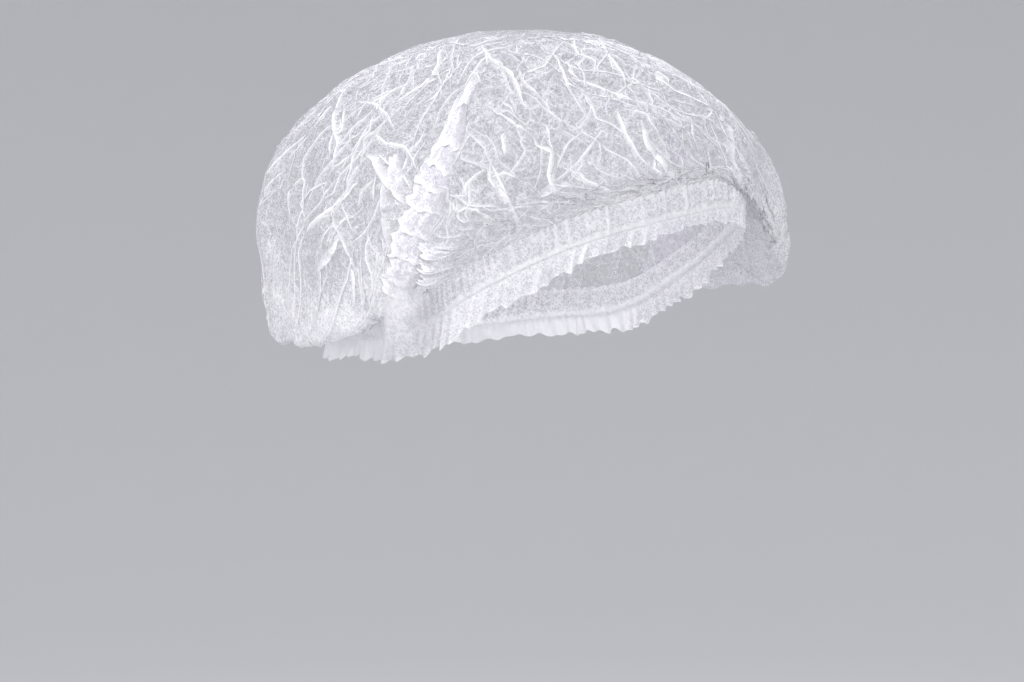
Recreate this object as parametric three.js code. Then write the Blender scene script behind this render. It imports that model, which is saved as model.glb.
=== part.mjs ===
// A disposable hair cover cap of thin nonwoven sheet, as it sits on a head.
// Millimetres, +Z up. The face looks along -Y and the wearer's left is +X.
// The origin is the middle of the opening that the head goes into.
// A turn is an angle in degrees round the head: 0 at the forehead, 90 at the wearer's left ear,
// -90 at the right ear and 180 at the nape. A climb runs from 0 at the sheet's lower edge to 1 at its top.
import * as THREE from "three";

// Driving dimensions of the head and of the cap on it
const HEAD_LENGTH = 200;
const HEAD_WIDTH = 158;
const CROWN_HEIGHT = 113; // top of the cap above the middle of the opening
const FOREHEAD_RISE = 40; // elastic above the origin at the forehead
const NAPE_DROP = 25; // elastic below the origin at the nape
const PUFF = 26; // most that the loose sheet stands out from the head
const SAG = 36; // most that the sheet's own slack pulls it down below its lower edge

// Sheet, elastic and hem
const WALL = 1.2;
const CLEARANCE = 0.3;
const ELASTIC_RADIUS = 1.1;
const CASING_HEIGHT = 9; // top of the gathered casing above the elastic
const FRILL_DEPTH = 12; // deepest stretch of the frill below the elastic
const GATHER_COUNT = 40; // small gathers round the hem
const CROWN_GATHER = 1.3; // height of a gather where the sheet meets the casing
const FRILL_GATHER = 2; // height of a ruffle at the frill's free edge
const GATHER_REACH = 0.2; // climb at which the gathers have died out

// Folds and dents of the loose sheet
const FOLD_RISE = 4.5;
const FOLD_REACH = 12; // from a fold's middle line to where it has died out

// Pleat stacks over the ears, where the folded sheet is welded together
const STACK_THICKNESS = 3.2;
const STACK_WIDTH = 24; // at the foot
const STACK_TAPER = 0.45; // width at the head as a share of the width at the foot
const STACK_CLEARANCE = 0.5;
const STACK_FOOT = { turn: 88, climb: 0.24 };
const STACK_HEAD = { turn: 75, climb: 0.6 };
const PLEAT_COUNT = 5;

// Mesh fineness
const STEPS_PER_GATHER = 3;
const SLACK_ROWS = 4; // rows of the crown below its widest place
const DOME_ROWS = 8;
const ELASTIC_SIDES = 6;
const ELASTIC_STEPS = 60;
const STACK_ROWS = 9;
const FOLD_STEPS = 10;

// Sections round the head. lift: elastic height as a share of its way from nape to forehead;
// grip: share of the head's own reach; puff and sag: shares of PUFF and SAG;
// waist: height of the widest place as a share of CROWN_HEIGHT; flank: above 1 draws the flank in;
// frill: share of FRILL_DEPTH.
const SECTIONS = [
  { turn: -150, lift: 0.04, grip: 0.93, puff: 0.88, sag: 1.0, waist: 0.22, flank: 1.35, frill: 0.6 },
  { turn: -120, lift: 0.12, grip: 0.97, puff: 0.72, sag: 0.92, waist: 0.18, flank: 1.2, frill: 0.7 },
  { turn: -92, lift: 0.2, grip: 1.0, puff: 0.55, sag: 0.5, waist: 0.2, flank: 1.1, frill: 0.9 },
  { turn: -64, lift: 0.53, grip: 1.0, puff: 0.4, sag: 0.0, waist: 0.38, flank: 1.1, frill: 0.9 },
  { turn: -36, lift: 0.82, grip: 1.0, puff: 0.22, sag: 0.0, waist: 0.46, flank: 1.3, frill: 0.55 },
  { turn: 0, lift: 1.0, grip: 1.0, puff: 0.14, sag: 0.0, waist: 0.5, flank: 1.6, frill: 0.5 },
  { turn: 14, lift: 0.96, grip: 1.0, puff: 0.3, sag: 0.2, waist: 0.42, flank: 1.8, frill: 0.5 },
  { turn: 36, lift: 0.82, grip: 1.0, puff: 0.86, sag: 0.84, waist: 0.2, flank: 2.2, frill: 0.6 },
  { turn: 64, lift: 0.5, grip: 1.0, puff: 0.85, sag: 0.55, waist: 0.15, flank: 1.9, frill: 0.8 },
  { turn: 92, lift: 0.2, grip: 1.0, puff: 0.7, sag: 0.6, waist: 0.15, flank: 1.4, frill: 0.8 },
  { turn: 120, lift: 0.12, grip: 0.97, puff: 0.8, sag: 0.86, waist: 0.16, flank: 1.2, frill: 0.7 },
  { turn: 150, lift: 0.04, grip: 0.93, puff: 0.95, sag: 0.96, waist: 0.2, flank: 1.2, frill: 0.6 },
  { turn: 180, lift: 0.0, grip: 0.91, puff: 0.98, sag: 0.98, waist: 0.22, flank: 1.2, frill: 0.6 },
];

// Main folds, each along a line from one turn and climb to another. rise: share of FOLD_RISE, below 0 for a
// dent; reach: share of FOLD_REACH.
const FOLDS = [
  { turn: -104, climb: 0.5, toTurn: -92, toClimb: 0.42, rise: 1.0, reach: 1.0 },
  { turn: -24, climb: 0.46, toTurn: -14, toClimb: 0.08, rise: 0.9, reach: 1.0 },
  { turn: 4, climb: 0.46, toTurn: 4, toClimb: 0.12, rise: 0.8, reach: 0.9 },
  { turn: -62, climb: 0.34, toTurn: -56, toClimb: 0.16, rise: 0.9, reach: 0.9 },
  { turn: -106, climb: 0.42, toTurn: -118, toClimb: 0.34, rise: 0.9, reach: 0.9 },
  { turn: -106, climb: 0.34, toTurn: -114, toClimb: 0.24, rise: 1.0, reach: 1.0 },
  { turn: -62, climb: 0.54, toTurn: -46, toClimb: 0.28, rise: 0.7, reach: 0.8 },
  { turn: -144, climb: 0.68, toTurn: -114, toClimb: 0.46, rise: 0.8, reach: 1.0 },
  { turn: -84, climb: 0.82, toTurn: -56, toClimb: 0.58, rise: 0.7, reach: 0.9 },
  { turn: -10, climb: 0.68, toTurn: -2, toClimb: 0.42, rise: 0.8, reach: 0.9 },
  { turn: -36, climb: 0.74, toTurn: -38, toClimb: 0.4, rise: -0.8, reach: 1.1 },
  { turn: -126, climb: 0.4, toTurn: -134, toClimb: 0.2, rise: -0.8, reach: 1.1 },
  { turn: -156, climb: 0.27, toTurn: -136, toClimb: 0.27, rise: -1.0, reach: 0.8 },
  { turn: -150, climb: 0.56, toTurn: -142, toClimb: 0.34, rise: 1.0, reach: 1.0 },
  { turn: -172, climb: 0.62, toTurn: -164, toClimb: 0.3, rise: 0.9, reach: 1.0 },
  { turn: 178, climb: 0.42, toTurn: 172, toClimb: 0.18, rise: -0.9, reach: 1.1 },
  { turn: 160, climb: 0.66, toTurn: 156, toClimb: 0.34, rise: 1.0, reach: 1.0 },
  { turn: 146, climb: 0.4, toTurn: 140, toClimb: 0.16, rise: 1.0, reach: 0.9 },
  { turn: 130, climb: 0.7, toTurn: 124, toClimb: 0.4, rise: -0.8, reach: 1.1 },
  { turn: 118, climb: 0.5, toTurn: 112, toClimb: 0.24, rise: 1.0, reach: 1.0 },
  { turn: 104, climb: 0.78, toTurn: 64, toClimb: 0.62, rise: 0.7, reach: 0.9 },
  { turn: 62, climb: 0.46, toTurn: 58, toClimb: 0.16, rise: 0.9, reach: 0.9 },
  { turn: 46, climb: 0.62, toTurn: 40, toClimb: 0.3, rise: -0.8, reach: 1.0 },
  { turn: 30, climb: 0.5, toTurn: 26, toClimb: 0.2, rise: 0.9, reach: 0.9 },
];

const COLUMNS = ["lift", "grip", "puff", "sag", "waist", "flank", "frill"];
const FULL_TURN = 360;
const wrapped = [-FULL_TURN, 0, FULL_TURN].flatMap((shift) =>
  SECTIONS.map((row) => ({ ...row, turn: row.turn + shift })),
);
const sectionCurve = new THREE.CubicInterpolant(
  wrapped.map((row) => row.turn),
  wrapped.flatMap((row) => COLUMNS.map((name) => row[name])),
  COLUMNS.length,
  new Array(COLUMNS.length),
);

function sectionAt(turn) {
  const values = sectionCurve.evaluate(turn);
  return Object.fromEntries(COLUMNS.map((name, i) => [name, values[i]]));
}

const radians = THREE.MathUtils.degToRad;
const degrees = THREE.MathUtils.radToDeg;
const { lerp, smoothstep } = THREE.MathUtils;
const outward = (turn) => new THREE.Vector3(Math.sin(radians(turn)), -Math.cos(radians(turn)), 0);

function headReach(turn) {
  const across = (2 * Math.sin(radians(turn))) / HEAD_WIDTH;
  const along = (2 * Math.cos(radians(turn))) / HEAD_LENGTH;
  return 1 / Math.hypot(across, along);
}

// The elastic's middle line
function rimPoint(turn) {
  const { lift, grip } = sectionAt(turn);
  const height = lerp(-NAPE_DROP, FOREHEAD_RISE, lift);
  return outward(turn).multiplyScalar(headReach(turn) * grip).setZ(height);
}

// A place beside the elastic, out from the head and up
function besideRim(turn, out, up) {
  return rimPoint(turn).addScaledVector(outward(turn), out).add(new THREE.Vector3(0, 0, up));
}

// Small gathers round the hem, from -1 to 1, drawn together and apart a few times round
const UNEVEN = [
  { times: 3, by: 0.9, from: 1 },
  { times: 7, by: 0.6, from: 0 },
];

function gatherWave(turn) {
  const angle = radians(turn);
  const drift = UNEVEN.map(({ times, by, from }) => by * Math.sin(times * angle + from));
  return Math.sin(drift.reduce((sum, part) => sum + part, GATHER_COUNT * angle));
}

const WAIST_AT = 0.3; // climb of the widest place
const SHOULDER = 0.5; // how far out the sheet has come before it drops, as a share of the way to the waist
const SHOULDER_RISE = 0.2; // and how far up
const BELLY_RISE = 0.6; // height of the curve's pull below the waist, as a share of the way up
const BELLY_PULL = 1.9; // how hard the sag pulls the curve down

// The loose sheet without gathers or folds: out of the hem, down into its sag, up to its widest place
// and over the head
function smoothSheet(turn, climb) {
  const { puff, sag, waist, flank } = sectionAt(turn);
  const rim = rimPoint(turn);
  const start = new THREE.Vector2(Math.hypot(rim.x, rim.y) + WALL / 2, rim.z + CASING_HEIGHT + CLEARANCE);
  const widest = new THREE.Vector2(headReach(turn) + puff * PUFF, waist * CROWN_HEIGHT);
  let place;
  if (climb < WAIST_AT) {
    const rise = Math.max(widest.y - start.y, 0);
    const leave = new THREE.Vector2(
      lerp(start.x, widest.x, SHOULDER),
      start.y + SHOULDER_RISE * rise + WALL,
    );
    const arrive = new THREE.Vector2(widest.x, start.y + BELLY_RISE * rise - BELLY_PULL * sag * SAG);
    place = new THREE.CubicBezierCurve(start, leave, arrive, widest).getPoint(climb / WAIST_AT);
  } else {
    const sweep = (Math.PI / 2) * ((climb - WAIST_AT) / (1 - WAIST_AT));
    const power = lerp(flank, 1, Math.sqrt(Math.sin(sweep)));
    place = new THREE.Vector2(
      widest.x * Math.max(Math.cos(sweep), 0) ** power,
      lerp(widest.y, CROWN_HEIGHT, Math.sin(sweep)),
    );
  }
  return outward(turn).multiplyScalar(place.x).setZ(place.y);
}

const NORMAL_STEP = { turn: 0.2, climb: 1e-3 };

function normalAt(surface, turn, climb) {
  const low = Math.max(climb - NORMAL_STEP.climb, 0);
  const high = Math.min(climb + NORMAL_STEP.climb, 1 - NORMAL_STEP.climb);
  const round = surface(turn + NORMAL_STEP.turn, climb).sub(surface(turn - NORMAL_STEP.turn, climb));
  const up = surface(turn, high).sub(surface(turn, low));
  return round.cross(up).normalize();
}

const isRight = (turn) => turn < 0;
const mirrored = (turn, right) => (right ? -turn : turn);

// The turn of a stack's middle line, and half its width in degrees, at a share of the way up it
function stackSpan(share, right) {
  const turn = mirrored(lerp(STACK_FOOT.turn, STACK_HEAD.turn, share), right);
  const climb = lerp(STACK_FOOT.climb, STACK_HEAD.climb, share);
  const middle = smoothSheet(turn, climb);
  const width = STACK_WIDTH * lerp(1, STACK_TAPER, share);
  return { turn, climb, half: degrees(width / 2 / Math.hypot(middle.x, middle.y)) };
}

// 1 under a pleat stack, where the sheet lies flat, and 0 away from it
const STACK_BORDER = { turn: 8, climb: 0.07 };

function flatUnderStack(turn, climb) {
  const beyond = Math.max(STACK_FOOT.climb - climb, climb - STACK_HEAD.climb, 0);
  const share = (climb - STACK_FOOT.climb) / (STACK_HEAD.climb - STACK_FOOT.climb);
  const span = stackSpan(THREE.MathUtils.clamp(share, 0, 1), isRight(turn));
  const aside = Math.max(Math.abs(turn - span.turn) - span.half - STACK_BORDER.turn / 2, 0);
  return (1 - smoothstep(beyond, 0, STACK_BORDER.climb)) * (1 - smoothstep(aside, 0, STACK_BORDER.turn));
}

const FOLD_ENDS = [0.15, 0.85]; // stretch of a sine's half wave that a fold's height follows along its line
const foldLines = FOLDS.map((fold) => ({
  rise: fold.rise * FOLD_RISE,
  reach: fold.reach * FOLD_REACH,
  places: Array.from({ length: FOLD_STEPS + 1 }, (_, i) => {
    const share = i / FOLD_STEPS;
    const turn = lerp(fold.turn, fold.toTurn, share);
    const climb = lerp(fold.climb, fold.toClimb, share);
    return { at: smoothSheet(turn, climb), strength: Math.sin(Math.PI * lerp(...FOLD_ENDS, share)) };
  }),
}));

// Height of the strongest fold at a place on the smooth sheet
function foldHeight(place) {
  let height = 0;
  for (const { rise, reach, places } of foldLines) {
    for (const { at, strength } of places) {
      const nearness = 1 - Math.min(place.distanceTo(at) / reach, 1) ** 2;
      const here = rise * strength * nearness ** 2;
      if (Math.abs(here) > Math.abs(height)) height = here;
    }
  }
  return height;
}

// The sheet's outer face with its gathers and folds
function outerSheet(turn, climb) {
  const place = smoothSheet(turn, climb);
  const free = 1 - flatUnderStack(turn, climb);
  const gather = CROWN_GATHER * gatherWave(turn) * (1 - smoothstep(climb, 0, GATHER_REACH));
  const fold = foldHeight(place) * smoothstep(climb, 0, GATHER_REACH);
  return place
    .addScaledVector(outward(turn), gather * free)
    .addScaledVector(normalAt(smoothSheet, turn, climb), fold * free);
}

const turnsRound = (steps) =>
  Array.from({ length: steps }, (_, i) => (FULL_TURN * i) / steps - FULL_TURN / 2);

// Joins outlines with equal numbers of points into one closed body. The outlines go round into a ring when
// there are no ends, and otherwise close on a pole at each end or, without poles, across their two walls.
function loft(outlines, { ring = false, poles = [] } = {}) {
  const count = outlines[0].length;
  const points = [...outlines.flat(), ...poles];
  const faces = [];
  const spans = ring ? outlines.length : outlines.length - 1;
  for (let i = 0; i < spans; i++) {
    const here = i * count;
    const next = ((i + 1) % outlines.length) * count;
    for (let j = 0; j < count; j++) {
      const k = (j + 1) % count;
      faces.push([here + j, next + k, here + k]);
      faces.push([here + j, next + j, next + k]);
    }
  }
  const last = (outlines.length - 1) * count;
  if (poles.length > 0) {
    const first = outlines.length * count;
    for (let j = 0; j < count; j++) {
      const k = (j + 1) % count;
      faces.push([first, j, k]);
      faces.push([last + j, first + 1, last + k]);
    }
  } else if (!ring) {
    for (let j = 0; j < count / 2 - 1; j++) {
      const k = count - 1 - j;
      faces.push([j, j + 1, k - 1], [j, k - 1, k]);
      faces.push([last + j, last + k - 1, last + j + 1], [last + j, last + k, last + k - 1]);
    }
  }
  const geometry = new THREE.BufferGeometry().setFromPoints(points).setIndex(faces.flat());
  geometry.computeVertexNormals();
  return geometry;
}

// The crown: one open shell of loose sheet, its outer face from the top down and its inner face back up
function crownGeometry() {
  const turns = turnsRound(GATHER_COUNT * STEPS_PER_GATHER);
  const slack = Array.from({ length: SLACK_ROWS }, (_, i) => (WAIST_AT * i) / SLACK_ROWS);
  const dome = Array.from({ length: DOME_ROWS }, (_, i) => lerp(WAIST_AT, 1, i / DOME_ROWS));
  const climbs = [...slack, ...dome];
  const outer = climbs.map((climb) => turns.map((turn) => outerSheet(turn, climb)));
  const inner = climbs.map((climb, i) =>
    turns.map((turn, j) => outer[i][j].clone().addScaledVector(normalAt(outerSheet, turn, climb), -WALL)),
  );
  const top = new THREE.Vector3(0, 0, CROWN_HEIGHT);
  const topInside = new THREE.Vector3(0, 0, CROWN_HEIGHT - WALL);
  return loft([...outer.reverse(), ...inner], { poles: [top, topInside] });
}

const CHANNEL = ELASTIC_RADIUS + CLEARANCE; // half width of the channel that the elastic runs in
const ROOF = radians(60); // slope of the channel's roof

// The casing: the turned hem, a roof over the elastic with a gathered band standing on it
function casingOutline(turn) {
  const outside = CHANNEL + WALL;
  const half = WALL / 2;
  const shoulder = (outside - half * Math.cos(ROOF)) / Math.sin(ROOF);
  const eaves = Math.tan(ROOF / 2);
  const gather = CROWN_GATHER * gatherWave(turn);
  return [
    besideRim(turn, outside, -CHANNEL),
    besideRim(turn, outside, outside * eaves),
    besideRim(turn, half, shoulder),
    besideRim(turn, half + gather, CASING_HEIGHT),
    besideRim(turn, gather - half, CASING_HEIGHT),
    besideRim(turn, -half, shoulder),
    besideRim(turn, -outside, outside * eaves),
    besideRim(turn, -outside, -CHANNEL),
    besideRim(turn, -CHANNEL, -CHANNEL),
    besideRim(turn, -CHANNEL, CHANNEL * eaves),
    besideRim(turn, 0, CHANNEL / Math.sin(ROOF)),
    besideRim(turn, CHANNEL, CHANNEL * eaves),
    besideRim(turn, CHANNEL, -CHANNEL),
  ];
}

// The frill: the sheet's own edge below the elastic, ruffled more and more towards its free edge
function frillOutline(turn) {
  const top = -CHANNEL - CLEARANCE;
  const bottom = Math.min(-FRILL_DEPTH * sectionAt(turn).frill, top - WALL);
  const rows = [1, 0.5, 0];
  const side = (out) =>
    rows.map((share) =>
      besideRim(turn, out + share * FRILL_GATHER * gatherWave(turn), lerp(top, bottom, share)),
    );
  return [...side(WALL / 2), ...side(-WALL / 2).reverse()];
}

function elasticOutline(turn) {
  return Array.from({ length: ELASTIC_SIDES }, (_, i) => {
    const angle = (2 * Math.PI * i) / ELASTIC_SIDES;
    return besideRim(turn, ELASTIC_RADIUS * Math.cos(angle), ELASTIC_RADIUS * Math.sin(angle));
  });
}

const ringGeometry = (outline, steps) => loft(turnsRound(steps).map(outline), { ring: true });

// A pleat stack: the sheet folded to and fro, thickest at the weld low down
const PLEAT_VALLEY = 0.4; // thickness between two pleats as a share of the thickness on one
const WELD = { share: 0.2, spread: 0.2, beyond: 0.7 };

function stackGeometry(right) {
  const shares = Array.from({ length: STACK_ROWS }, (_, i) => i / (STACK_ROWS - 1));
  const columns = Array.from({ length: 2 * PLEAT_COUNT + 1 }, (_, i) => i);
  const outlines = shares.map((share) => {
    const { turn, climb, half } = stackSpan(share, right);
    const weld = Math.exp(-(((share - WELD.share) / WELD.spread) ** 2));
    const thickness = STACK_THICKNESS * lerp(WELD.beyond, 1, weld);
    const wallPoint = (column, rise) => {
      const at = turn + half * (1 - column / PLEAT_COUNT);
      return smoothSheet(at, climb).addScaledVector(normalAt(smoothSheet, at, climb), rise);
    };
    const outer = columns.map((column) =>
      wallPoint(column, STACK_CLEARANCE + thickness * (column % 2 === 1 ? 1 : PLEAT_VALLEY)),
    );
    const inner = columns.map((column) => wallPoint(column, STACK_CLEARANCE));
    return [...outer, ...inner.reverse()];
  });
  return loft(outlines);
}

const sheetFinish = { color: 0xf0eff4, roughness: 0.85, metalness: 0 };
const elasticFinish = { color: 0xfafafc, roughness: 0.6, metalness: 0 };

function piece(name, geometry, finish) {
  const mesh = new THREE.Mesh(geometry, new THREE.MeshStandardMaterial(finish));
  mesh.name = name;
  return mesh;
}

const RING_STEPS = GATHER_COUNT * STEPS_PER_GATHER;
const cap = new THREE.Group();
cap.add(piece("crown", crownGeometry(), sheetFinish));
cap.add(piece("rim_casing", ringGeometry(casingOutline, RING_STEPS), sheetFinish));
cap.add(piece("elastic_loop", ringGeometry(elasticOutline, ELASTIC_STEPS), elasticFinish));
cap.add(piece("rim_frill", ringGeometry(frillOutline, RING_STEPS), sheetFinish));
cap.add(piece("pleat_stack_right", stackGeometry(true), sheetFinish));
cap.add(piece("pleat_stack_left", stackGeometry(false), sheetFinish));

export default cap;
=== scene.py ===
import math
import random

import bmesh
import bpy
import numpy as np
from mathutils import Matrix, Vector, kdtree, noise
from mathutils.bvhtree import BVHTree


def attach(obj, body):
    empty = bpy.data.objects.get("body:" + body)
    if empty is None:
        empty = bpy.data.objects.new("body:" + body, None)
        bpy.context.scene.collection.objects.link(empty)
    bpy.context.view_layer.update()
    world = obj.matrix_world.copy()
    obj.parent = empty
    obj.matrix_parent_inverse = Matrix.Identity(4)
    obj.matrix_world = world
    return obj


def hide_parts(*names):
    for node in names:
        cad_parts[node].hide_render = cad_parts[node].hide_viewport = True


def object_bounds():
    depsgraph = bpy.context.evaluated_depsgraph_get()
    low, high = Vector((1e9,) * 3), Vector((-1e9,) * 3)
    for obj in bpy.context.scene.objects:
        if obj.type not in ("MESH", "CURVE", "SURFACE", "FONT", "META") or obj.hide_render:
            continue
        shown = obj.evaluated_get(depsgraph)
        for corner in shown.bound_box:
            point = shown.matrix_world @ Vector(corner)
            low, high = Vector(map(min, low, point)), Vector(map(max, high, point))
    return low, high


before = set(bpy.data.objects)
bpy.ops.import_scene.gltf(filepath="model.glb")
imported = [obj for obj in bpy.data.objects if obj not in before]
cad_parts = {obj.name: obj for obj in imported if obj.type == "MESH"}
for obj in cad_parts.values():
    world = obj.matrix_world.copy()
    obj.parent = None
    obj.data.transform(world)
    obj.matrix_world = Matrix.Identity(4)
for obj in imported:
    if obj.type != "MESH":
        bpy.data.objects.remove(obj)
cad_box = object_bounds()
MM = 0.001

# The photograph's camera: its frame in pixels, and where the cap's origin lies in it
PHOTO_WIDTH, PHOTO_HEIGHT = 1024, 682
FOCAL_PX = 3450
ORIGIN_PX = (525, 291)
CAMERA_TURN = math.radians(-54)
CAMERA_RISE = math.radians(5)
CAMERA_REACH = 1.5
SENSOR_MM = 36

BACK = Vector((
    math.sin(CAMERA_TURN) * math.cos(CAMERA_RISE),
    -math.cos(CAMERA_TURN) * math.cos(CAMERA_RISE),
    math.sin(CAMERA_RISE),
))
RIGHT = Vector((math.cos(CAMERA_TURN), math.sin(CAMERA_TURN), 0))
UP = BACK.cross(RIGHT)


def camera_place():
    """Where the camera stands so that the origin shows at its pixel."""
    aside = (ORIGIN_PX[0] - PHOTO_WIDTH / 2) / FOCAL_PX
    above = (PHOTO_HEIGHT / 2 - ORIGIN_PX[1]) / FOCAL_PX
    return (BACK - RIGHT * aside - UP * above) * CAMERA_REACH


def pixel_ray(pixel):
    """The direction from the camera through a pixel of the photograph."""
    aside = (pixel[0] - PHOTO_WIDTH / 2) / FOCAL_PX
    above = (PHOTO_HEIGHT / 2 - pixel[1]) / FOCAL_PX
    return (RIGHT * aside + UP * above - BACK).normalized()


def add_camera():
    """The photograph's own view."""
    lens = bpy.data.cameras.new("camera")
    lens.sensor_width = SENSOR_MM
    lens.lens = SENSOR_MM * FOCAL_PX / PHOTO_WIDTH
    camera = bpy.data.objects.new("camera", lens)
    bpy.context.scene.collection.objects.link(camera)
    camera.location = camera_place()
    camera.rotation_euler = BACK.to_track_quat("Z", "Y").to_euler()
    bpy.context.scene.camera = camera


# The sheet's smooth form, read from the crown's own rings

SHELL_RINGS = 12  # rings of the crown's outer face below its top


def crown_rings():
    """The crown's outer face as rings from the lower edge up, each from the nape round by the right ear."""
    shell = bmesh.new()
    shell.from_mesh(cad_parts["crown"].data)
    bmesh.ops.remove_doubles(shell, verts=shell.verts[:], dist=0.01 * MM)
    ring = [max(shell.verts, key=lambda v: v.co.z)]
    seen = set(ring)
    rings = []
    for _ in range(SHELL_RINGS):
        ring = list({e.other_vert(v) for v in ring for e in v.link_edges} - seen)
        seen.update(ring)
        ring.sort(key=lambda v: math.atan2(v.co.x, -v.co.y))
        rings.append([v.co[:] for v in ring])
    top = max(v.co.z for v in shell.verts)
    shell.free()
    return np.array(rings[::-1]), top


def cubic(before, here, after, beyond, share):
    """A smooth curve through four evenly spaced values, between the middle two."""
    turn = 2 * here + share * (after - before)
    turn = turn + share**2 * (2 * before - 5 * here + 4 * after - beyond)
    return (turn + share**3 * (3 * here - before - 3 * after + beyond)) / 2


class Sheet:
    """The smooth sheet: places on it by turn, in degrees, and by row, from 0 at the hem to 12 at the top."""

    def __init__(self):
        rings, top = crown_rings()
        even = (np.roll(rings, 1, 1) + rings + np.roll(rings, -1, 1)) / 3
        apex = np.broadcast_to(np.array([0, 0, top]), even[:1].shape)
        below = 2 * even[:1] - even[1:2]
        over = np.roll(even[-1:], even.shape[1] // 2, 1)
        self.rows = np.concatenate([below, even, apex, over])
        self.count = even.shape[1]

    def place(self, turn, row):
        turn, row = np.broadcast_arrays(np.asarray(turn, float), np.asarray(row, float))
        column = (turn + 180) / 360 * self.count - 1  # the first column is one step past the nape
        j = np.floor(column).astype(int)
        i = np.clip(np.floor(row).astype(int), 0, SHELL_RINGS - 1)
        across, along = (column - j)[..., None], (row - i)[..., None]

        def ring(k):
            around = [self.rows[k, (j + step) % self.count] for step in (-1, 0, 1, 2)]
            return cubic(*around, across)

        return cubic(ring(i), ring(i + 1), ring(i + 2), ring(i + 3), along)

    def normal(self, turn, row):
        step_turn, step_row = 0.4, 0.02
        row = np.clip(row, 0, SHELL_RINGS - 0.1)
        around = self.place(turn + step_turn, row) - self.place(turn - step_turn, row)
        upward = self.place(turn, row + step_row) - self.place(turn, row - step_row)
        out = np.cross(around, upward)
        return out / np.maximum(np.linalg.norm(out, axis=-1, keepdims=True), 1e-12)


sheet = Sheet()


def outward(turn):
    """The level direction out from the head at a turn."""
    angle = np.radians(turn)
    return np.stack([np.sin(angle), -np.cos(angle), 0 * angle], -1)


def made_object(name, mesh):
    """An object at the origin from a bmesh, which is used up."""
    data = bpy.data.meshes.new(name)
    mesh.to_mesh(data)
    mesh.free()
    made = bpy.data.objects.new(name, data)
    bpy.context.scene.collection.objects.link(made)
    return made


def grid_piece(name, places, closed_round=True):
    """A piece from a grid of places, rows by columns. The first and last columns are welded into a ring."""
    rows, columns = places.shape[:2]
    mesh = bmesh.new()
    bmesh.ops.create_grid(mesh, x_segments=columns - 1, y_segments=rows - 1, size=1)
    for v in mesh.verts:
        column = round((v.co.x + 1) / 2 * (columns - 1))
        row = round((v.co.y + 1) / 2 * (rows - 1))
        v.co = places[row, column]
    if closed_round:
        bmesh.ops.remove_doubles(mesh, verts=mesh.verts[:], dist=0.002 * MM)
    for face in mesh.faces:
        face.smooth = True
    return made_object(name, mesh)


def joined(name, parts):
    """One piece made of several, with the places they share welded."""
    whole = bmesh.new()
    for part in parts:
        whole.from_mesh(part.data)
        bpy.data.objects.remove(part)
    bmesh.ops.remove_doubles(whole, verts=whole.verts[:], dist=0.001 * MM)
    return made_object(name, whole)


def paint(piece, name, values):
    """Gives each vertex its value of a named attribute."""
    layer = piece.data.attributes.new(name, "FLOAT", "POINT")
    layer.data.foreach_set("value", np.asarray(values, np.float32))


# Finding a photograph's pixel on the near side of the sheet

SCAN_TURN, SCAN_ROW = 1.0, 0.1
scan_turns = np.arange(-180, 180, SCAN_TURN)
scan_rows = np.arange(0, SHELL_RINGS, SCAN_ROW)
scan_grid = np.stack(np.meshgrid(scan_turns, scan_rows), -1).reshape(-1, 2)
scan_places = sheet.place(scan_grid[:, 0], scan_grid[:, 1])
scan_facing = (sheet.normal(scan_grid[:, 0], scan_grid[:, 1]) @ np.array(BACK)) > 0.05
eye = np.array(camera_place())


def on_sheet(pixel):
    """The turn and row where the line of sight through a pixel meets the near side."""
    ray = np.array(pixel_ray(pixel))
    away = scan_places - eye
    along = away @ ray
    miss = np.linalg.norm(away - along[:, None] * ray, axis=1)
    best = np.argmin(np.where(scan_facing, miss, 1e9))
    return tuple(scan_grid[best])


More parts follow.
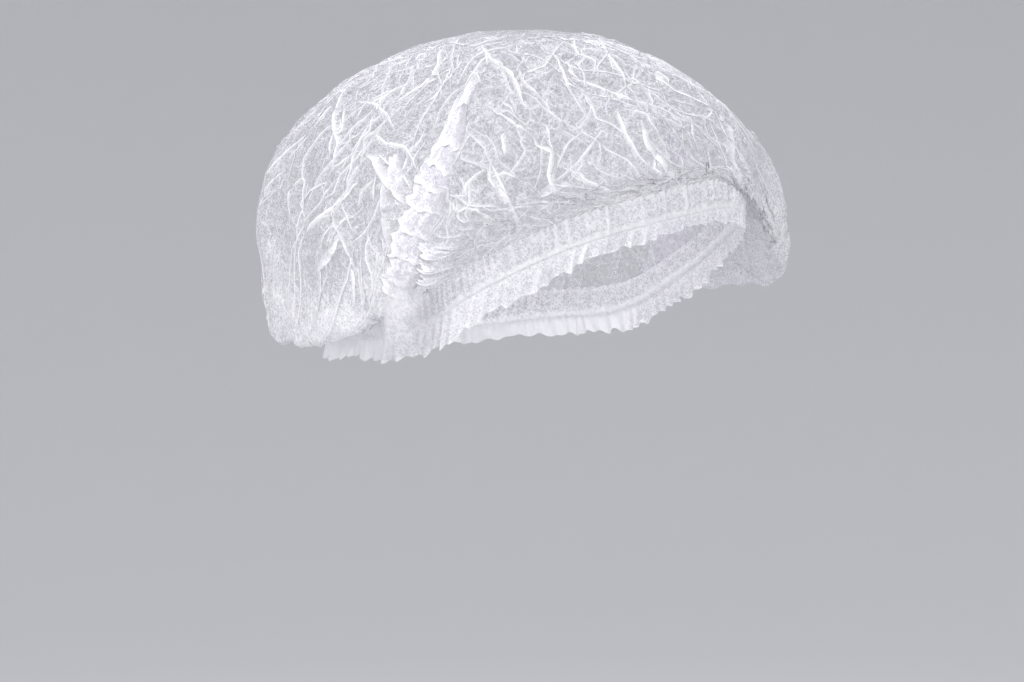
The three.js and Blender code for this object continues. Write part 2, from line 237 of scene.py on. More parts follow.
# Creases as pixels of the photograph. Most are charted from it, and the outline's and the pouch's are placed
# one by one. Each has its bright line's width and how far its fold stands out, both in millimetres.
CREASES = {
    "back_arc": (1.6, 1.6, [
        (355, 83), (344, 94), (338, 109), (335, 129), (340, 140), (337, 158), (335, 175),
    ]),
    "back_branch": (1.0, 1.0, [(356, 102), (378, 108), (389, 120), (396, 131)]),
    "to_stack_high": (1.2, 1.4, [(374, 133), (388, 144), (404, 149), (414, 161), (418, 175)]),
    "to_stack_wide": (3.0, 2.2, [(367, 152), (378, 159), (387, 175), (398, 192), (412, 209)]),
    "to_stack_fine": (0.9, 1.0, [(378, 152), (395, 166), (406, 178), (414, 190)]),
    "back_slant": (1.2, 1.4, [(363, 174), (349, 190), (337, 203), (329, 218)]),
    "back_twig": (0.9, 0.8, [(378, 171), (376, 190), (374, 206)]),
    "dome_left": (1.4, 1.4, [(449, 46), (441, 66), (427, 86), (406, 97), (392, 108)]),
    "dome_middle": (1.6, 1.6, [(483, 47), (494, 65), (511, 77), (519, 95)]),
    "dome_middle_low": (1.1, 1.2, [(497, 106), (500, 112), (519, 129), (534, 135)]),
    "middle_long": (1.8, 1.8, [(534, 135), (538, 144), (552, 154), (552, 177), (561, 196)]),
    "middle_upper": (1.1, 1.2, [(504, 70), (515, 85), (521, 106), (532, 116)]),
    "top_hook": (1.1, 1.2, [(554, 56), (559, 68), (567, 85), (588, 93)]),
    "top_line": (1.0, 1.0, [(599, 51), (615, 66), (622, 77), (626, 89)]),
    "front_curve": (1.3, 1.5, [(615, 112), (622, 135), (634, 154), (649, 167)]),
    "front_wide": (2.6, 2.2, [(642, 123), (647, 144), (663, 158), (674, 173), (682, 192)]),
    "front_short": (1.2, 1.2, [(687, 116), (693, 135), (699, 152)]),
    "front_shoulder": (1.0, 1.1, [(634, 62), (653, 76), (672, 91), (691, 100), (707, 108), (714, 131)]),
    "front_edge": (2.6, 2.0, [(720, 119), (728, 154), (731, 188)]),
    "front_edge_inner": (1.0, 1.2, [(704, 112), (716, 136), (728, 166), (739, 190)]),
    "low_dash": (1.6, 1.4, [(575, 169), (582, 181), (596, 186), (613, 192)]),
    "middle_dash": (1.2, 1.2, [(504, 135), (506, 146), (508, 158)]),
    "low_wide": (3.0, 2.4, [(496, 181), (504, 199), (513, 219), (515, 236)]),
    "low_tick": (0.9, 1.0, [(492, 164), (492, 178), (497, 190)]),
    "low_bow": (1.2, 1.2, [(460, 208), (480, 211), (492, 219), (507, 222)]),
    "low_left_long": (1.4, 1.6, [(483, 220), (486, 236), (498, 251), (506, 263)]),
    "lens_upper": (1.4, 1.4, [(426, 250), (434, 245), (446, 245), (456, 247), (464, 249)]),
    "lens_lower": (1.6, 1.4, [(423, 263), (440, 252), (454, 251)]),
    "hem_left_wide": (2.8, 2.2, [(443, 272), (461, 280), (472, 290), (483, 303)]),
    "hem_bow": (1.0, 1.0, [(525, 216), (547, 219), (561, 226)]),
    "back_wide_slant": (2.6, 2.0, [(347, 198), (332, 212), (320, 224), (307, 234)]),
    "back_parallel": (1.0, 1.0, [(351, 215), (338, 227), (332, 239)]),
    "back_low_wide": (2.8, 2.2, [(341, 236), (336, 247), (325, 261), (319, 277)]),
    "back_low_line": (1.5, 1.5, [(350, 266), (356, 283), (356, 305)]),
    "ear_swirl": (1.4, 1.4, [(378, 274), (388, 278), (395, 287), (397, 295)]),
    "beside_stack": (3.2, 2.4, [(385, 180), (386, 205), (388, 228), (392, 253)]),
    "flap_tail": (1.0, 1.1, [(454, 196), (466, 196), (468, 184), (486, 168)]),
    "flap_tail_low": (0.9, 1.0, [(455, 200), (458, 213), (470, 206), (474, 196)]),
    "fan_high": (1.0, 1.0, [(491, 165), (500, 184), (508, 197)]),
    "fan_level": (0.9, 0.9, [(492, 178), (504, 175), (519, 179)]),
    "edge_lens": (1.4, 1.2, [(739, 190), (730, 160), (724, 140)]),
    "outline_left": (1.1, 1.0, [(284, 196), (292, 170), (305, 140), (322, 114), (346, 90), (376, 70)]),
    "outline_top_left": (1.0, 1.0, [(392, 64), (420, 55), (450, 47), (474, 46)]),
    "outline_top": (1.1, 1.0, [(520, 41), (556, 39), (590, 44), (622, 54), (652, 68)]),
    "outline_front": (1.1, 1.2, [(684, 84), (702, 104), (722, 132), (738, 158), (752, 186)]),
    "pouch_upper": (1.3, 1.4, [(744, 196), (758, 206), (770, 222), (782, 236)]),
    "pouch_middle": (1.2, 1.2, [(750, 232), (762, 234), (776, 238), (786, 240)]),
    "pouch_lower": (1.2, 1.2, [(756, 262), (766, 256), (776, 248), (784, 240)]),
    "tall_back": (1.2, 1.2, [(316, 130), (322, 118), (334, 104)]),
    "tall_back_low": (1.0, 1.0, [(300, 205), (312, 190), (330, 180)]),
}

# The folded flaps over the ear from the top down, then the three in front of them and one behind: each one's
# corners in pixels, from its top left round by its top right
FLAPS = {
    "tip": ((476, 72), (487, 70), (470, 106), (458, 108)),
    "upper_narrow": ((462, 92), (472, 92), (464, 150), (440, 150)),
    "upper_wide": ((450, 118), (468, 124), (456, 178), (428, 166)),
    "middle_high": ((440, 148), (462, 152), (448, 196), (415, 182)),
    "middle": ((424, 170), (453, 176), (444, 216), (408, 204)),
    "middle_low": ((415, 194), (446, 204), (436, 240), (400, 228)),
    "lower_high": ((405, 218), (440, 226), (428, 262), (390, 252)),
    "lower": ((397, 246), (430, 252), (421, 280), (387, 276)),
    "foot": ((392, 264), (424, 266), (420, 288), (386, 290)),
    "front_high": ((424, 238), (470, 236), (464, 247), (422, 256)),
    "front_middle": ((422, 256), (476, 250), (466, 262), (420, 272)),
    "front_low": ((420, 270), (468, 264), (454, 276), (420, 284)),
    "behind": ((398, 150), (414, 190), (404, 214), (388, 176)),
}
FAN_TOP = ((394, 268), (422, 268))  # the upper corners of the bunched sheet below them

# Where the sheet is bunched up thick: a pixel, the reach round it in millimetres, and how dense it is
DENSE_PATCHES = {
    "ear": ((404, 276), 11, 0.8),
    "ear_low": ((398, 292), 15, 0.75),
    "behind_ear": ((375, 335), 15, 0.6),
    "behind_ear_low": ((350, 338), 17, 0.55),
    "bag_floor": ((320, 338), 20, 0.5),
    "bag_floor_back": ((290, 330), 22, 0.5),
    "bag_corner": ((275, 290), 15, 0.4),
    "bag_back": ((268, 240), 12, 0.25),
    "stack_middle": ((418, 220), 10, 0.4),
    "stack_high": ((440, 160), 9, 0.3),
    "before_ear": ((452, 290), 10, 0.45),
    "before_ear_front": ((470, 296), 10, 0.45),
    "pouch": ((770, 235), 26, 0.5),
    "pouch_low": ((758, 262), 18, 0.5),
    "pouch_high": ((745, 205), 12, 0.35),
}


def crease_line(pixels):
    """A charted crease on the sheet: the turn and row of each of its pixels."""
    return [on_sheet(pixel) for pixel in pixels]


# Each step of a chance crease: degrees along for a slope of 1, their scatter, and rows down
WANDER_TURN, WANDER_SCATTER, WANDER_ROW = 3.2, 1.6, 0.34
DOME_ROW = 4  # above this row the rings narrow towards the top


def wandering_line(rng, turn, row, slope, steps):
    """A chance crease: a line over the sheet that keeps roughly to its slope."""
    line = [(turn, row)]
    for _ in range(steps):
        narrowing = math.cos(math.pi / 2 * max(row - DOME_ROW, 0) / (SHELL_RINGS - DOME_ROW))
        squeeze = 1 / max(narrowing, 0.2)
        turn += slope * WANDER_TURN * squeeze + rng.gauss(0, WANDER_SCATTER)
        row -= WANDER_ROW * rng.uniform(0.6, 1.4)
        if not 0.4 < row < SHELL_RINGS - 0.6:
            break
        line.append((turn, row))
    return line


CHANCE_CREASES = 520  # all round
NEAR_CREASES, NEAR_TURNS = 110, (-140, 30)  # more of them on the photograph's side
HEM_CREASES, HEM_TURNS = 130, (-105, 25)  # and low on that side
FRONT_TURN = -75  # forward of here creases slant down to the front, and behind it down to the back


def chance_creases():
    """Creases that the photograph hides or shows only faintly: (width, rise, line) for each."""
    rng = random.Random(7)
    found = []
    for i in range(CHANCE_CREASES + NEAR_CREASES + HEM_CREASES):
        near = i >= CHANCE_CREASES
        turn = rng.uniform(*NEAR_TURNS) if near else rng.uniform(-180, 180)
        row = rng.uniform(1.2, 10.8)
        if i >= CHANCE_CREASES + NEAR_CREASES:
            turn, row = rng.uniform(*HEM_TURNS), rng.uniform(1.6, 5.0)
        forward = 1 if FRONT_TURN < turn < 105 else -1
        if rng.random() < 0.28:
            forward = -forward
        slope = forward * rng.uniform(0.1, 1.0)
        line = wandering_line(rng, turn, row, slope, rng.randint(2, 8))
        if len(line) < 3:
            continue
        faint = 0.55 if near else rng.uniform(0.4, 1.0)
        width = rng.uniform(0.7, 1.3) * faint + 0.25
        rise = rng.choice((-1, 1, 1)) * rng.uniform(0.5, 1.4)
        found.append((width, rise, line))
    return found


all_creases = [(width, rise, crease_line(pixels)) for width, rise, pixels in CREASES.values()]
all_creases += chance_creases()

CREASE_STEP = 0.6 * MM
CHARTED_GLOW, CHANCE_GLOW = 0.6, 0.3  # how bright the two kinds of crease are: part the doubled sheet's density, part a painted highlight on the fold


def spaced_along(line, step, fewest):
    """Evenly spaced places along a crease: how far along each one lies, its turn and its row."""
    knots = np.array(line)
    ends = sheet.place(knots[:, 0], knots[:, 1])
    reach = np.concatenate([[0], np.cumsum(np.linalg.norm(np.diff(ends, axis=0), axis=1))])
    at = np.linspace(0, reach[-1], max(int(reach[-1] / step), fewest))
    return at, np.interp(at, reach, knots[:, 0]), np.interp(at, reach, knots[:, 1])


def crease_samples():
    """Points along all creases, each with its crease's width, rise and brightness, tapering to the ends."""
    points, widths, rises, glows = [], [], [], []
    for number, (width, rise, line) in enumerate(all_creases):
        at, turns, rows = spaced_along(line, CREASE_STEP, 4)
        taper = np.sin(np.linspace(0.12, math.pi - 0.12, len(at))) ** 0.6
        points.append(sheet.place(turns, rows))
        widths.append(width * (0.4 + 0.6 * taper))
        rises.append(rise * taper)
        glows.append((CHARTED_GLOW if number < len(CREASES) else CHANCE_GLOW) * taper)
    return tuple(np.concatenate(x) for x in (points, widths, rises, glows))


CREASE_REACH = 9 * MM  # a crease shapes the sheet no further away than this
FLANK_MM = 3.2  # how wide a crease's flanks are


def crease_fields(places):
    """For each place on the sheet: the height that its nearest creases give it, and how bright they are."""
    points, widths, rises, glows = crease_samples()
    tree = kdtree.KDTree(len(points))
    for i, point in enumerate(points):
        tree.insert(point, i)
    tree.balance()
    height = np.zeros(len(places))
    glow = np.zeros(len(places))
    for k, place in enumerate(places):
        _, i, away = tree.find(place)
        if away > CREASE_REACH:
            continue
        away /= MM
        height[k] = rises[i] * math.exp(-away / FLANK_MM)
        # A bright line along each crease: a painted highlight on the fold, with some extra density.
        glow[k] = glows[i] * math.exp(-((away / widths[i]) ** 2))
    return height * MM, glow


# The crumples: cell size and height in millimetres, and how bright the cells' borders are, a painted
# highlight along their ridges
CRUMPLE_LAYERS = [
    {"cell": 26, "height": 3.2, "border": 0.35},
    {"cell": 12, "height": 0.9, "border": 0.3},
    {"cell": 5.5, "height": 0.32, "border": 0.12},
]
WARP_CELL, WARP_MM = 18, 6  # how the cells' borders wander: over what length, and how far
WARP_SEED = 7
noise.seed_set(WARP_SEED)  # otherwise the clock seeds it, and the borders wander otherwise in each run


def crumple_fields(places):
    """Sharp-edged dents of a crumpled sheet: cells whose borders stand out."""
    height = np.zeros(len(places))
    glow = np.zeros(len(places))
    for k, place in enumerate(places):
        spot = Vector(place) / MM
        spot += noise.noise_vector(spot / WARP_CELL) * WARP_MM
        for layer in CRUMPLE_LAYERS:
            reach, _ = noise.voronoi(spot / layer["cell"])
            height[k] += layer["height"] * (reach[0] - 0.5)
            gap = (reach[1] - reach[0]) * layer["cell"]
            # The cells' borders are the ridges of the dents: a painted highlight there.
            glow[k] = max(glow[k], layer["border"] * math.exp(-gap / 0.9))
    return height * MM, glow


# The gathers at the hem. Each row of an uneven table is a slow wave: times round, by how much, and its start.
HEM_GATHERS = 150
HEM_UNEVEN = ((5, 2.6, 0.4), (11, 1.9, 2.0), (23, 1.3, 0.9), (47, 0.8, 1.7))
GATHER_STRENGTH = np.random.default_rng(3).uniform(0.35, 1.0, HEM_GATHERS)
CALM_TURN, CALM_SPREAD, CALM_SHARE = 82, 19, 0.75  # the gathers are pressed flat just in front of the ears


def gather_phase(turn, count, uneven, lean):
    """Which gather a turn lies in and how far across it, in one number. lean slides them, in gathers."""
    angle = np.radians(turn)
    drift = sum(by * np.sin(times * angle + start) for times, by, start in uneven)
    return (count * angle + drift) / (2 * math.pi) + lean


def hem_wave(turn, lean=0.0):
    """Fine uneven gathers round the hem: how far they stand out at a turn, from -0.6 to 1.4."""
    phase = gather_phase(turn, HEM_GATHERS, HEM_UNEVEN, lean)
    number = np.floor(phase)
    tooth = 2 - 4 * np.abs(phase - number - 0.5)
    calm = 1 - CALM_SHARE * np.exp(-(((np.abs(turn) - CALM_TURN) / CALM_SPREAD) ** 2))
    return (tooth * GATHER_STRENGTH[number.astype(int) % HEM_GATHERS] - 0.6) * calm


GATHER_HEIGHT = 1.5 * MM
GATHER_REACH = 7 * MM
GATHER_LEAN = 9 * MM  # going up the sheet, the gathers slide along by one for each of these


def hem_gather(turn, away):
    """How far the gathers push the sheet out, at a distance from the hem."""
    return GATHER_HEIGHT * hem_wave(turn, away / GATHER_LEAN) * np.exp(-((away / GATHER_REACH) ** 1.3))


SHEET_COLUMNS, SHEET_ROWS = 480, 145
FINE_SPLIT = 3  # the lowest rows have this many times the columns
FINE_ROWS = 20
FINE_TOP = 2.4
HEM_CALM_ROWS, TOP_CALM_ROWS = 2.6, 1.2  # the crumples die away over so many rows
HEM_BRIGHT = 9 * MM  # how far up from the hem the sheet is painted brighter: denser where it is bunched, with painted light over its shaded underside


def away_from_hem(turns, rows):
    """The distance up the sheet from the hem, for a grid of turns and rows. High rows count as far away."""
    fine = np.linspace(0, 4, 41)
    track = sheet.place(*np.meshgrid(turns, fine))
    steps = np.linalg.norm(np.diff(track, axis=0), axis=-1)
    reach = np.concatenate([np.zeros((1, len(turns))), np.cumsum(steps, 0)])
    return np.stack([np.interp(rows, fine, reach[:, i], right=1) for i in range(len(turns))], 1)


def sheet_fields(turns, rows):
    """The crumpled sheet over a grid of turns and rows: places and brightness."""
    grid_turn, grid_row = np.meshgrid(turns, rows)
    base = sheet.place(grid_turn, grid_row)
    normal = sheet.normal(grid_turn, grid_row)
    flat = base.reshape(-1, 3)
    rise_creases, glow_creases = crease_fields(flat)
    rise_crumple, glow_crumple = crumple_fields(flat)
    shape = grid_turn.shape
    calm_top = np.clip((SHELL_RINGS - grid_row) / TOP_CALM_ROWS, 0, 1)
    calm_hem = np.clip(grid_row / HEM_CALM_ROWS, 0, 1)
    height = (rise_creases + rise_crumple).reshape(shape) * calm_top * calm_hem
    away = away_from_hem(turns, rows)
    aim = outward(grid_turn) + normal
    aim /= np.linalg.norm(aim, axis=-1, keepdims=True)
    places = base + normal * height[..., None] + aim * hem_gather(grid_turn, away)[..., None]
    ridge = np.clip(hem_wave(grid_turn, away / GATHER_LEAN), 0, 1) ** 3
    glow = np.maximum(glow_creases, glow_crumple).reshape(shape) * calm_top
    # Near the hem: painted light over the downward-facing, shaded sheet and painted highlights on the
    # gathers' crests, besides the bunched density.
    glow = np.maximum(glow, (0.4 + 0.5 * ridge) * np.exp(-away / HEM_BRIGHT))
    for pixel, spread, dense in DENSE_PATCHES.values():
        miss = np.linalg.norm(base - sheet.place(*on_sheet(pixel)), axis=-1) / MM
        glow = glow + dense * np.exp(-((miss / spread) ** 2)) * (1 - glow).clip(0)
    return places, glow


def make_crown_sheet():
    """The crown's sheet: a finer grid at the hem, where the gathers are, and a coarser one above it."""
    coarse_turns = np.linspace(-180, 180, SHEET_COLUMNS + 1)
    rows = np.linspace(FINE_TOP, SHELL_RINGS, SHEET_ROWS + 1)
    upper, upper_glow = sheet_fields(coarse_turns, rows)
    upper[:, -1], upper_glow[:, -1] = upper[:, 0], upper_glow[:, 0]
    upper[-1] = upper[-1, :1]
    fine_turns = np.linspace(-180, 180, SHEET_COLUMNS * FINE_SPLIT + 1)
    lower, lower_glow = sheet_fields(fine_turns, np.linspace(0, FINE_TOP, FINE_ROWS + 1))
    lower[:, -1], lower_glow[:, -1] = lower[:, 0], lower_glow[:, 0]
    for axis in range(3):
        lower[-1, :, axis] = np.interp(fine_turns, coarse_turns, upper[0, :, axis])
    lower_glow[-1] = np.interp(fine_turns, coarse_turns, upper_glow[0])
    parts = [grid_piece("upper", upper), grid_piece("lower", lower)]
    piece = joined("crown_sheet", parts)
    places = np.concatenate([upper.reshape(-1, 3), lower.reshape(-1, 3)])
    glow = np.concatenate([upper_glow.reshape(-1), lower_glow.reshape(-1)])
    paint_near(piece, "crease", places, glow)
    return piece


def paint_near(piece, name, places, values):
    """Paints each vertex with the value of the place nearest to it."""
    tree = kdtree.KDTree(len(places))
    for i, place in enumerate(places):
        tree.insert(place, i)
    tree.balance()
    nearest = [tree.find(v.co)[1] for v in piece.data.vertices]
    paint(piece, name, values[nearest])


# Pinched folds: along each crease the sheet is doubled over, flat on itself and with one free edge

FOLD_STEP = 1.3 * MM
FOLD_ACROSS = np.array([0, 0.35, 0.7, 1.0])


def make_folds(under):
    """One narrow lap of sheet along every crease, lying on the crown's sheet."""
    rng = np.random.default_rng(5)
    mesh = under.data
    tree = BVHTree.FromPolygons([v.co for v in mesh.vertices], [p.vertices for p in mesh.polygons])
    parts, spots, covers = [], [], []
    for number, (width, rise, line) in enumerate(all_creases):
        at, turns, rows = spaced_along(line, FOLD_STEP, 5)
        steps = len(at)
        middle = sheet.place(turns, rows)
        normal = sheet.normal(turns, rows)
        along = np.gradient(middle, axis=0)
        side = np.cross(normal, along)
        side /= np.maximum(np.linalg.norm(side, axis=1, keepdims=True), 1e-9)
        side *= 1 if rng.random() < 0.5 else -1
        taper = np.sin(np.linspace(0.05, math.pi - 0.05, steps)) ** 0.7
        ragged = 0.75 + 0.35 * np.interp(at, np.linspace(0, at[-1], 7), rng.random(7))
        wide = (1.5 * width + 0.4) * MM * taper * ragged
        places = middle[None] + side[None] * (wide * (FOLD_ACROSS[:, None] - 0.5))[..., None]
        lift = (0.12 + 0.45 * FOLD_ACROSS[:, None] * taper) * MM
        for i in range(len(FOLD_ACROSS)):
            for k in range(steps):
                start = Vector(places[i, k] + normal[k] * 0.012)
                hit = tree.ray_cast(start, Vector(-normal[k]), 0.024)[0]
                if hit is not None:
                    places[i, k] = np.array(hit) + normal[k] * lift[i, k]
        cover = np.broadcast_to(FOLD_ACROSS[:, None] ** 0.7 * np.minimum(taper * 1.6, 1), lift.shape)
        strength = 1.0 if number < len(CREASES) else 0.45 + 0.4 * rng.random()
        parts.append(grid_piece(f"fold_{number}", places, closed_round=False))
        spots.append(places.reshape(-1, 3))
        covers.append(cover.reshape(-1) * strength)
    piece = joined("pinched_folds", parts)
    paint_near(piece, "cover", np.concatenate(spots), np.concatenate(covers))
    # Each lap is whiter and denser alike: its doubled sheet, with a painted highlight on the fold.
    paint(piece, "crease", np.full(len(piece.data.vertices), 0.75))
    return piece


# The hem: everything here follows the elastic's middle line

RIM_POINTS = 60  # places round the elastic's node
RIM_STEP = 360 / RIM_POINTS


def rim_line():
    """The elastic's middle line from its own node, as a place for each step of turn."""
    ring = bmesh.new()
    ring.from_mesh(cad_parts["elastic_loop"].data)
    bmesh.ops.remove_doubles(ring, verts=ring.verts[:], dist=0.01 * MM)
    places = np.array([v.co[:] for v in ring.verts])
    ring.free()
    turn = np.degrees(np.arctan2(places[:, 0], -places[:, 1]))
    step = np.round((turn + 180) / RIM_STEP).astype(int) % RIM_POINTS
    return np.array([places[step == i].mean(0) for i in range(RIM_POINTS)])


rim_points = rim_line()


def rim_place(turn):
    column = (np.asarray(turn, float) + 180) / RIM_STEP
    j = np.floor(column).astype(int)
    around = [rim_points[(j + step) % RIM_POINTS] for step in (-1, 0, 1, 2)]
    return cubic(*around, (column - j)[..., None])


def beside_rim(turn, out, up):
    """A place beside the elastic, out from the head and up, in metres."""
    place = rim_place(turn) + outward(turn) * np.asarray(out)[..., None]
    place[..., 2] += up
    return place


HEM_COLUMNS = 2400
hem_turns = np.linspace(-180, 180, HEM_COLUMNS + 1)


def strip_piece(name, section):
    """A strip along the whole hem from a section, and its grid of places. The section's rows of (out, up) go
    from its top down, and each is one number or one for every turn."""
    rows = [beside_rim(hem_turns, out + 0 * hem_turns, up) for out, up in section]
    places = np.stack(rows)[::-1]
    places[:, -1] = places[:, 0]
    return grid_piece(name, places), places


FAN_TURN = 98  # the bunched sheet's turn to either side


def hem_density_and_painted_light(spread):
    """How much denser and whiter the bunched hem is: over the ears, within a spread in degrees, and behind
    them, where the whitening is also painted light over the shaded nape.
    """
    over_ears = 0.7 * np.exp(-(((np.abs(hem_turns) - FAN_TURN) / spread) ** 2))
    # Behind the ears the whitening is also painted light over the nape's shade.
    return over_ears + 1.0 / (1 + np.exp((FAN_TURN - np.abs(hem_turns)) / 5))


CASING_TOP = 11.4  # the band's height above the elastic's middle, in millimetres
ELASTIC_BULGE = 1.3  # the radius of the sheet round the elastic, in millimetres
TUCK_LEAN = 0.55  # how far the tucks slide along over the band's height, in gathers
BAND_SHARES = np.linspace(1, 0.2, 12)  # shares of the band's height on its outer layer
ROUND_ELASTIC = (25, 0, -30, -60, -90, -120, -150, -180, -205)  # degrees round the elastic
INNER_SHARES = np.linspace(0.25, 0.94, 6)  # shares of the height on its inner layer


def make_casing():
    """The gathered band standing on the elastic, its turn round the elastic and its inner layer."""
    section, glows = [], []
    bunched = hem_density_and_painted_light(11)
    scallop = 0.8 * MM * np.clip(hem_wave(hem_turns, TUCK_LEAN), -0.5, 1)
    for share in BAND_SHARES:
        wave = hem_wave(hem_turns, TUCK_LEAN * share)
        swell = 0.7 + 1.3 * math.sin(math.pi * share**0.8) + 1.3 * share**3
        depth = GATHER_HEIGHT * (0.45 + 0.5 * share)
        section.append((swell * MM + wave * depth, CASING_TOP * share * MM + scallop * share**3))
        # Painted highlights on the tucks' crests and along the band's top edge, over the gathered band's
        # density; the bunched term adds density over the ears and painted light over the shaded nape.
        glows.append(0.25 + 0.7 * np.clip(wave, 0, 1) ** 2 + 0.6 * share**8 + bunched)
    low = hem_wave(hem_turns) * GATHER_HEIGHT * 0.3
    for angle in np.radians(ROUND_ELASTIC):
        out = ELASTIC_BULGE * math.cos(angle) * MM + low
        section.append((out, ELASTIC_BULGE * math.sin(angle) * MM))
        glows.append(0.62 + 0 * low)
    for share in INNER_SHARES:
        wave = hem_wave(hem_turns, TUCK_LEAN * share)
        section.append((-0.9 * MM + wave * GATHER_HEIGHT * (0.3 + 0.5 * share), CASING_TOP * share * MM))
        glows.append(0.2 + 0 * low)
    piece, places = strip_piece("hem_casing", section)
    paint_near(piece, "crease", places.reshape(-1, 3), np.stack(glows)[::-1].reshape(-1))
    return piece


def frill_depth(turn):
    """How far the frill hangs below the elastic, read from its node."""
    frill = bmesh.new()
    frill.from_mesh(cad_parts["rim_frill"].data)
    places = np.array([v.co[:] for v in frill.verts])
    frill.free()
    at = np.degrees(np.arctan2(places[:, 0], -places[:, 1]))
    steps = np.arange(-180, 181, RIM_STEP)
    low = np.array([places[np.abs((at - s + 180) % 360 - 180) < 4, 2].min() for s in steps])
    return rim_place(turn)[:, 2] - np.interp(turn, steps, low)


FRILL_RUFFLES = 92
FRILL_UNEVEN = ((1, 20, 0.0), (4, 2.2, 0.3), (9, 1.7, 1.2), (19, 1.2, 2.2), (37, 0.7, 0.4))
FRILL_LEAN = 0.35
FRILL_STRENGTH = np.random.default_rng(8).uniform(0.3, 1.0, FRILL_RUFFLES)


def frill_tooth(turn, lean):
    """Ruffles that are finer at the forehead than at the nape: how far they stand out, to 1.35."""
    phase = gather_phase(turn, FRILL_RUFFLES, FRILL_UNEVEN, lean)
    number = np.floor(phase)
    sharp = 2 - 4 * np.abs(phase - number - 0.5)
    round_top = 1 - np.cos(2 * math.pi * phase)
    tooth = 0.6 * sharp + 0.4 * round_top
    return tooth * FRILL_STRENGTH[number.astype(int) % FRILL_RUFFLES] - 0.65


def make_frill():
    """The sheet's free edge below the elastic, ruffled more the lower it hangs."""
    angle = np.radians(hem_turns)
    depth = frill_depth(hem_turns)
    edge = frill_tooth(hem_turns, FRILL_LEAN)
    uneven = 0.08 * np.sin(13 * angle + 0.7) + 0.06 * np.sin(41 * angle) + 0.05 * np.sin(67 * angle + 1)
    hang = depth * (1 + 0.07 * edge + uneven)
    loose = 1.9 - 0.9 * np.cos(angle)
    bunched = hem_density_and_painted_light(10)
    section, glows = [], []
    for share in np.linspace(0, 1, 14):
        tooth = frill_tooth(hem_turns, FRILL_LEAN * share)
        fine = hem_wave(hem_turns, 0.4 * share)
        spread = (loose * tooth * share**0.8 + 0.5 * fine * (1 - 0.5 * share)) * MM
        section.append((spread + 0.5 * MM, -(1.3 * MM * (1 - share) + hang * share)))
        ridge = np.clip(tooth, 0, 1) ** 2
        # Painted highlights on the ruffles' crests; whiter at the lower edge and beside the elastic; the
        # bunched term adds density over the ears and painted light over the shaded nape.
        glows.append(0.12 + 0.4 * ridge + 0.4 * share**14 + 0.3 * (1 - share) ** 3 + bunched)
    piece, places = strip_piece("hem_frill", section)
    paint_near(piece, "crease", places.reshape(-1, 3), np.stack(glows)[::-1].reshape(-1))
    return piece


THREAD_RADIUS = 0.75  # in millimetres
THREAD_SIDES = 8
THREAD_TWIST, THREAD_SWELL = 420, 0.16  # how many times it winds round the loop, and how oval it is


def make_elastic():
    """The elastic inside the casing, an oval thread that is wound up."""
    twist = np.radians(hem_turns) * THREAD_TWIST
    section = []
    for k in range(THREAD_SIDES + 1):
        angle = 2 * math.pi * k / THREAD_SIDES
        swell = 1 + THREAD_SWELL * np.cos(2 * (angle + twist / 2))
        out = THREAD_RADIUS * MM * swell * math.cos(angle)
        section.append((out, THREAD_RADIUS * MM * swell * math.sin(angle)))
    return strip_piece("elastic_thread", section[::-1])[0]


# The folded flaps over the ears

FLAP_STEPS = 26
FLAP_LIFT = 0.9  # how far a flap lies off the smooth sheet, in millimetres


def flap_grid(corners, number, side):
    """One flap over four corners. Its left and lower edges are free and lift off, and the others lie flat."""
    a, b, c, d = [np.array(on_sheet(corner)) for corner in corners]
    u, v = np.meshgrid(np.linspace(0, 1, FLAP_STEPS), np.linspace(1, 0, FLAP_STEPS))
    ragged = 0.06 * np.sin(9 * v + 2.1 * number) + 0.035 * np.sin(23 * v + number)
    slack = 0.04 * np.sin(8 * u + 1.3 * number) + 0.02 * np.sin(21 * u)
    left, down = (u + ragged * (1 - u))[..., None], (v + slack * v)[..., None]
    where = (a * (1 - left) + b * left) * (1 - down) + (d * (1 - left) + c * left) * down
    turn, row = side * where[..., 0], np.clip(where[..., 1], 0.05, SHELL_RINGS - 0.2)
    wrinkle = 0.22 * np.sin(11 * (u + 0.7 * v) + 2 * number) + 0.14 * np.sin(25 * (v - 0.5 * u) + number)
    lift = FLAP_LIFT + 1.0 * (1 - u) ** 1.5 * (0.2 + 0.8 * v) + 0.15 * v**3 + wrinkle * (0.4 + 0.6 * v)
    places = sheet.place(turn, row) + sheet.normal(turn, row) * (lift * MM)[..., None]
    edges = np.exp(-((u / 0.09) ** 2)) + np.exp(-(((1 - v) / 0.1) ** 2))
    streak = np.clip(np.sin(17 * u + 4 * v + 3 * number), 0, 1) ** 4
    # The free left and lower edges are whiter and denser, part the folded-over sheet and part a painted
    # highlight, with bright diagonal streaks and more white towards the free left edge.
    shade = 0.12 + 0.6 * np.clip(edges, 0, 1) + 0.15 * (1 - u) + 0.25 * streak
    cover = np.clip((1 - u) / 0.45, 0, 1) * np.clip(v / 0.35, 0, 1)
    return places, shade, cover


FAN_PLEATS = 7
FAN_FOOT = (-104, -74)  # the turns that its lower edge spans
FAN_SWELL = 3.6  # how far it stands off a straight line from top to foot, in millimetres


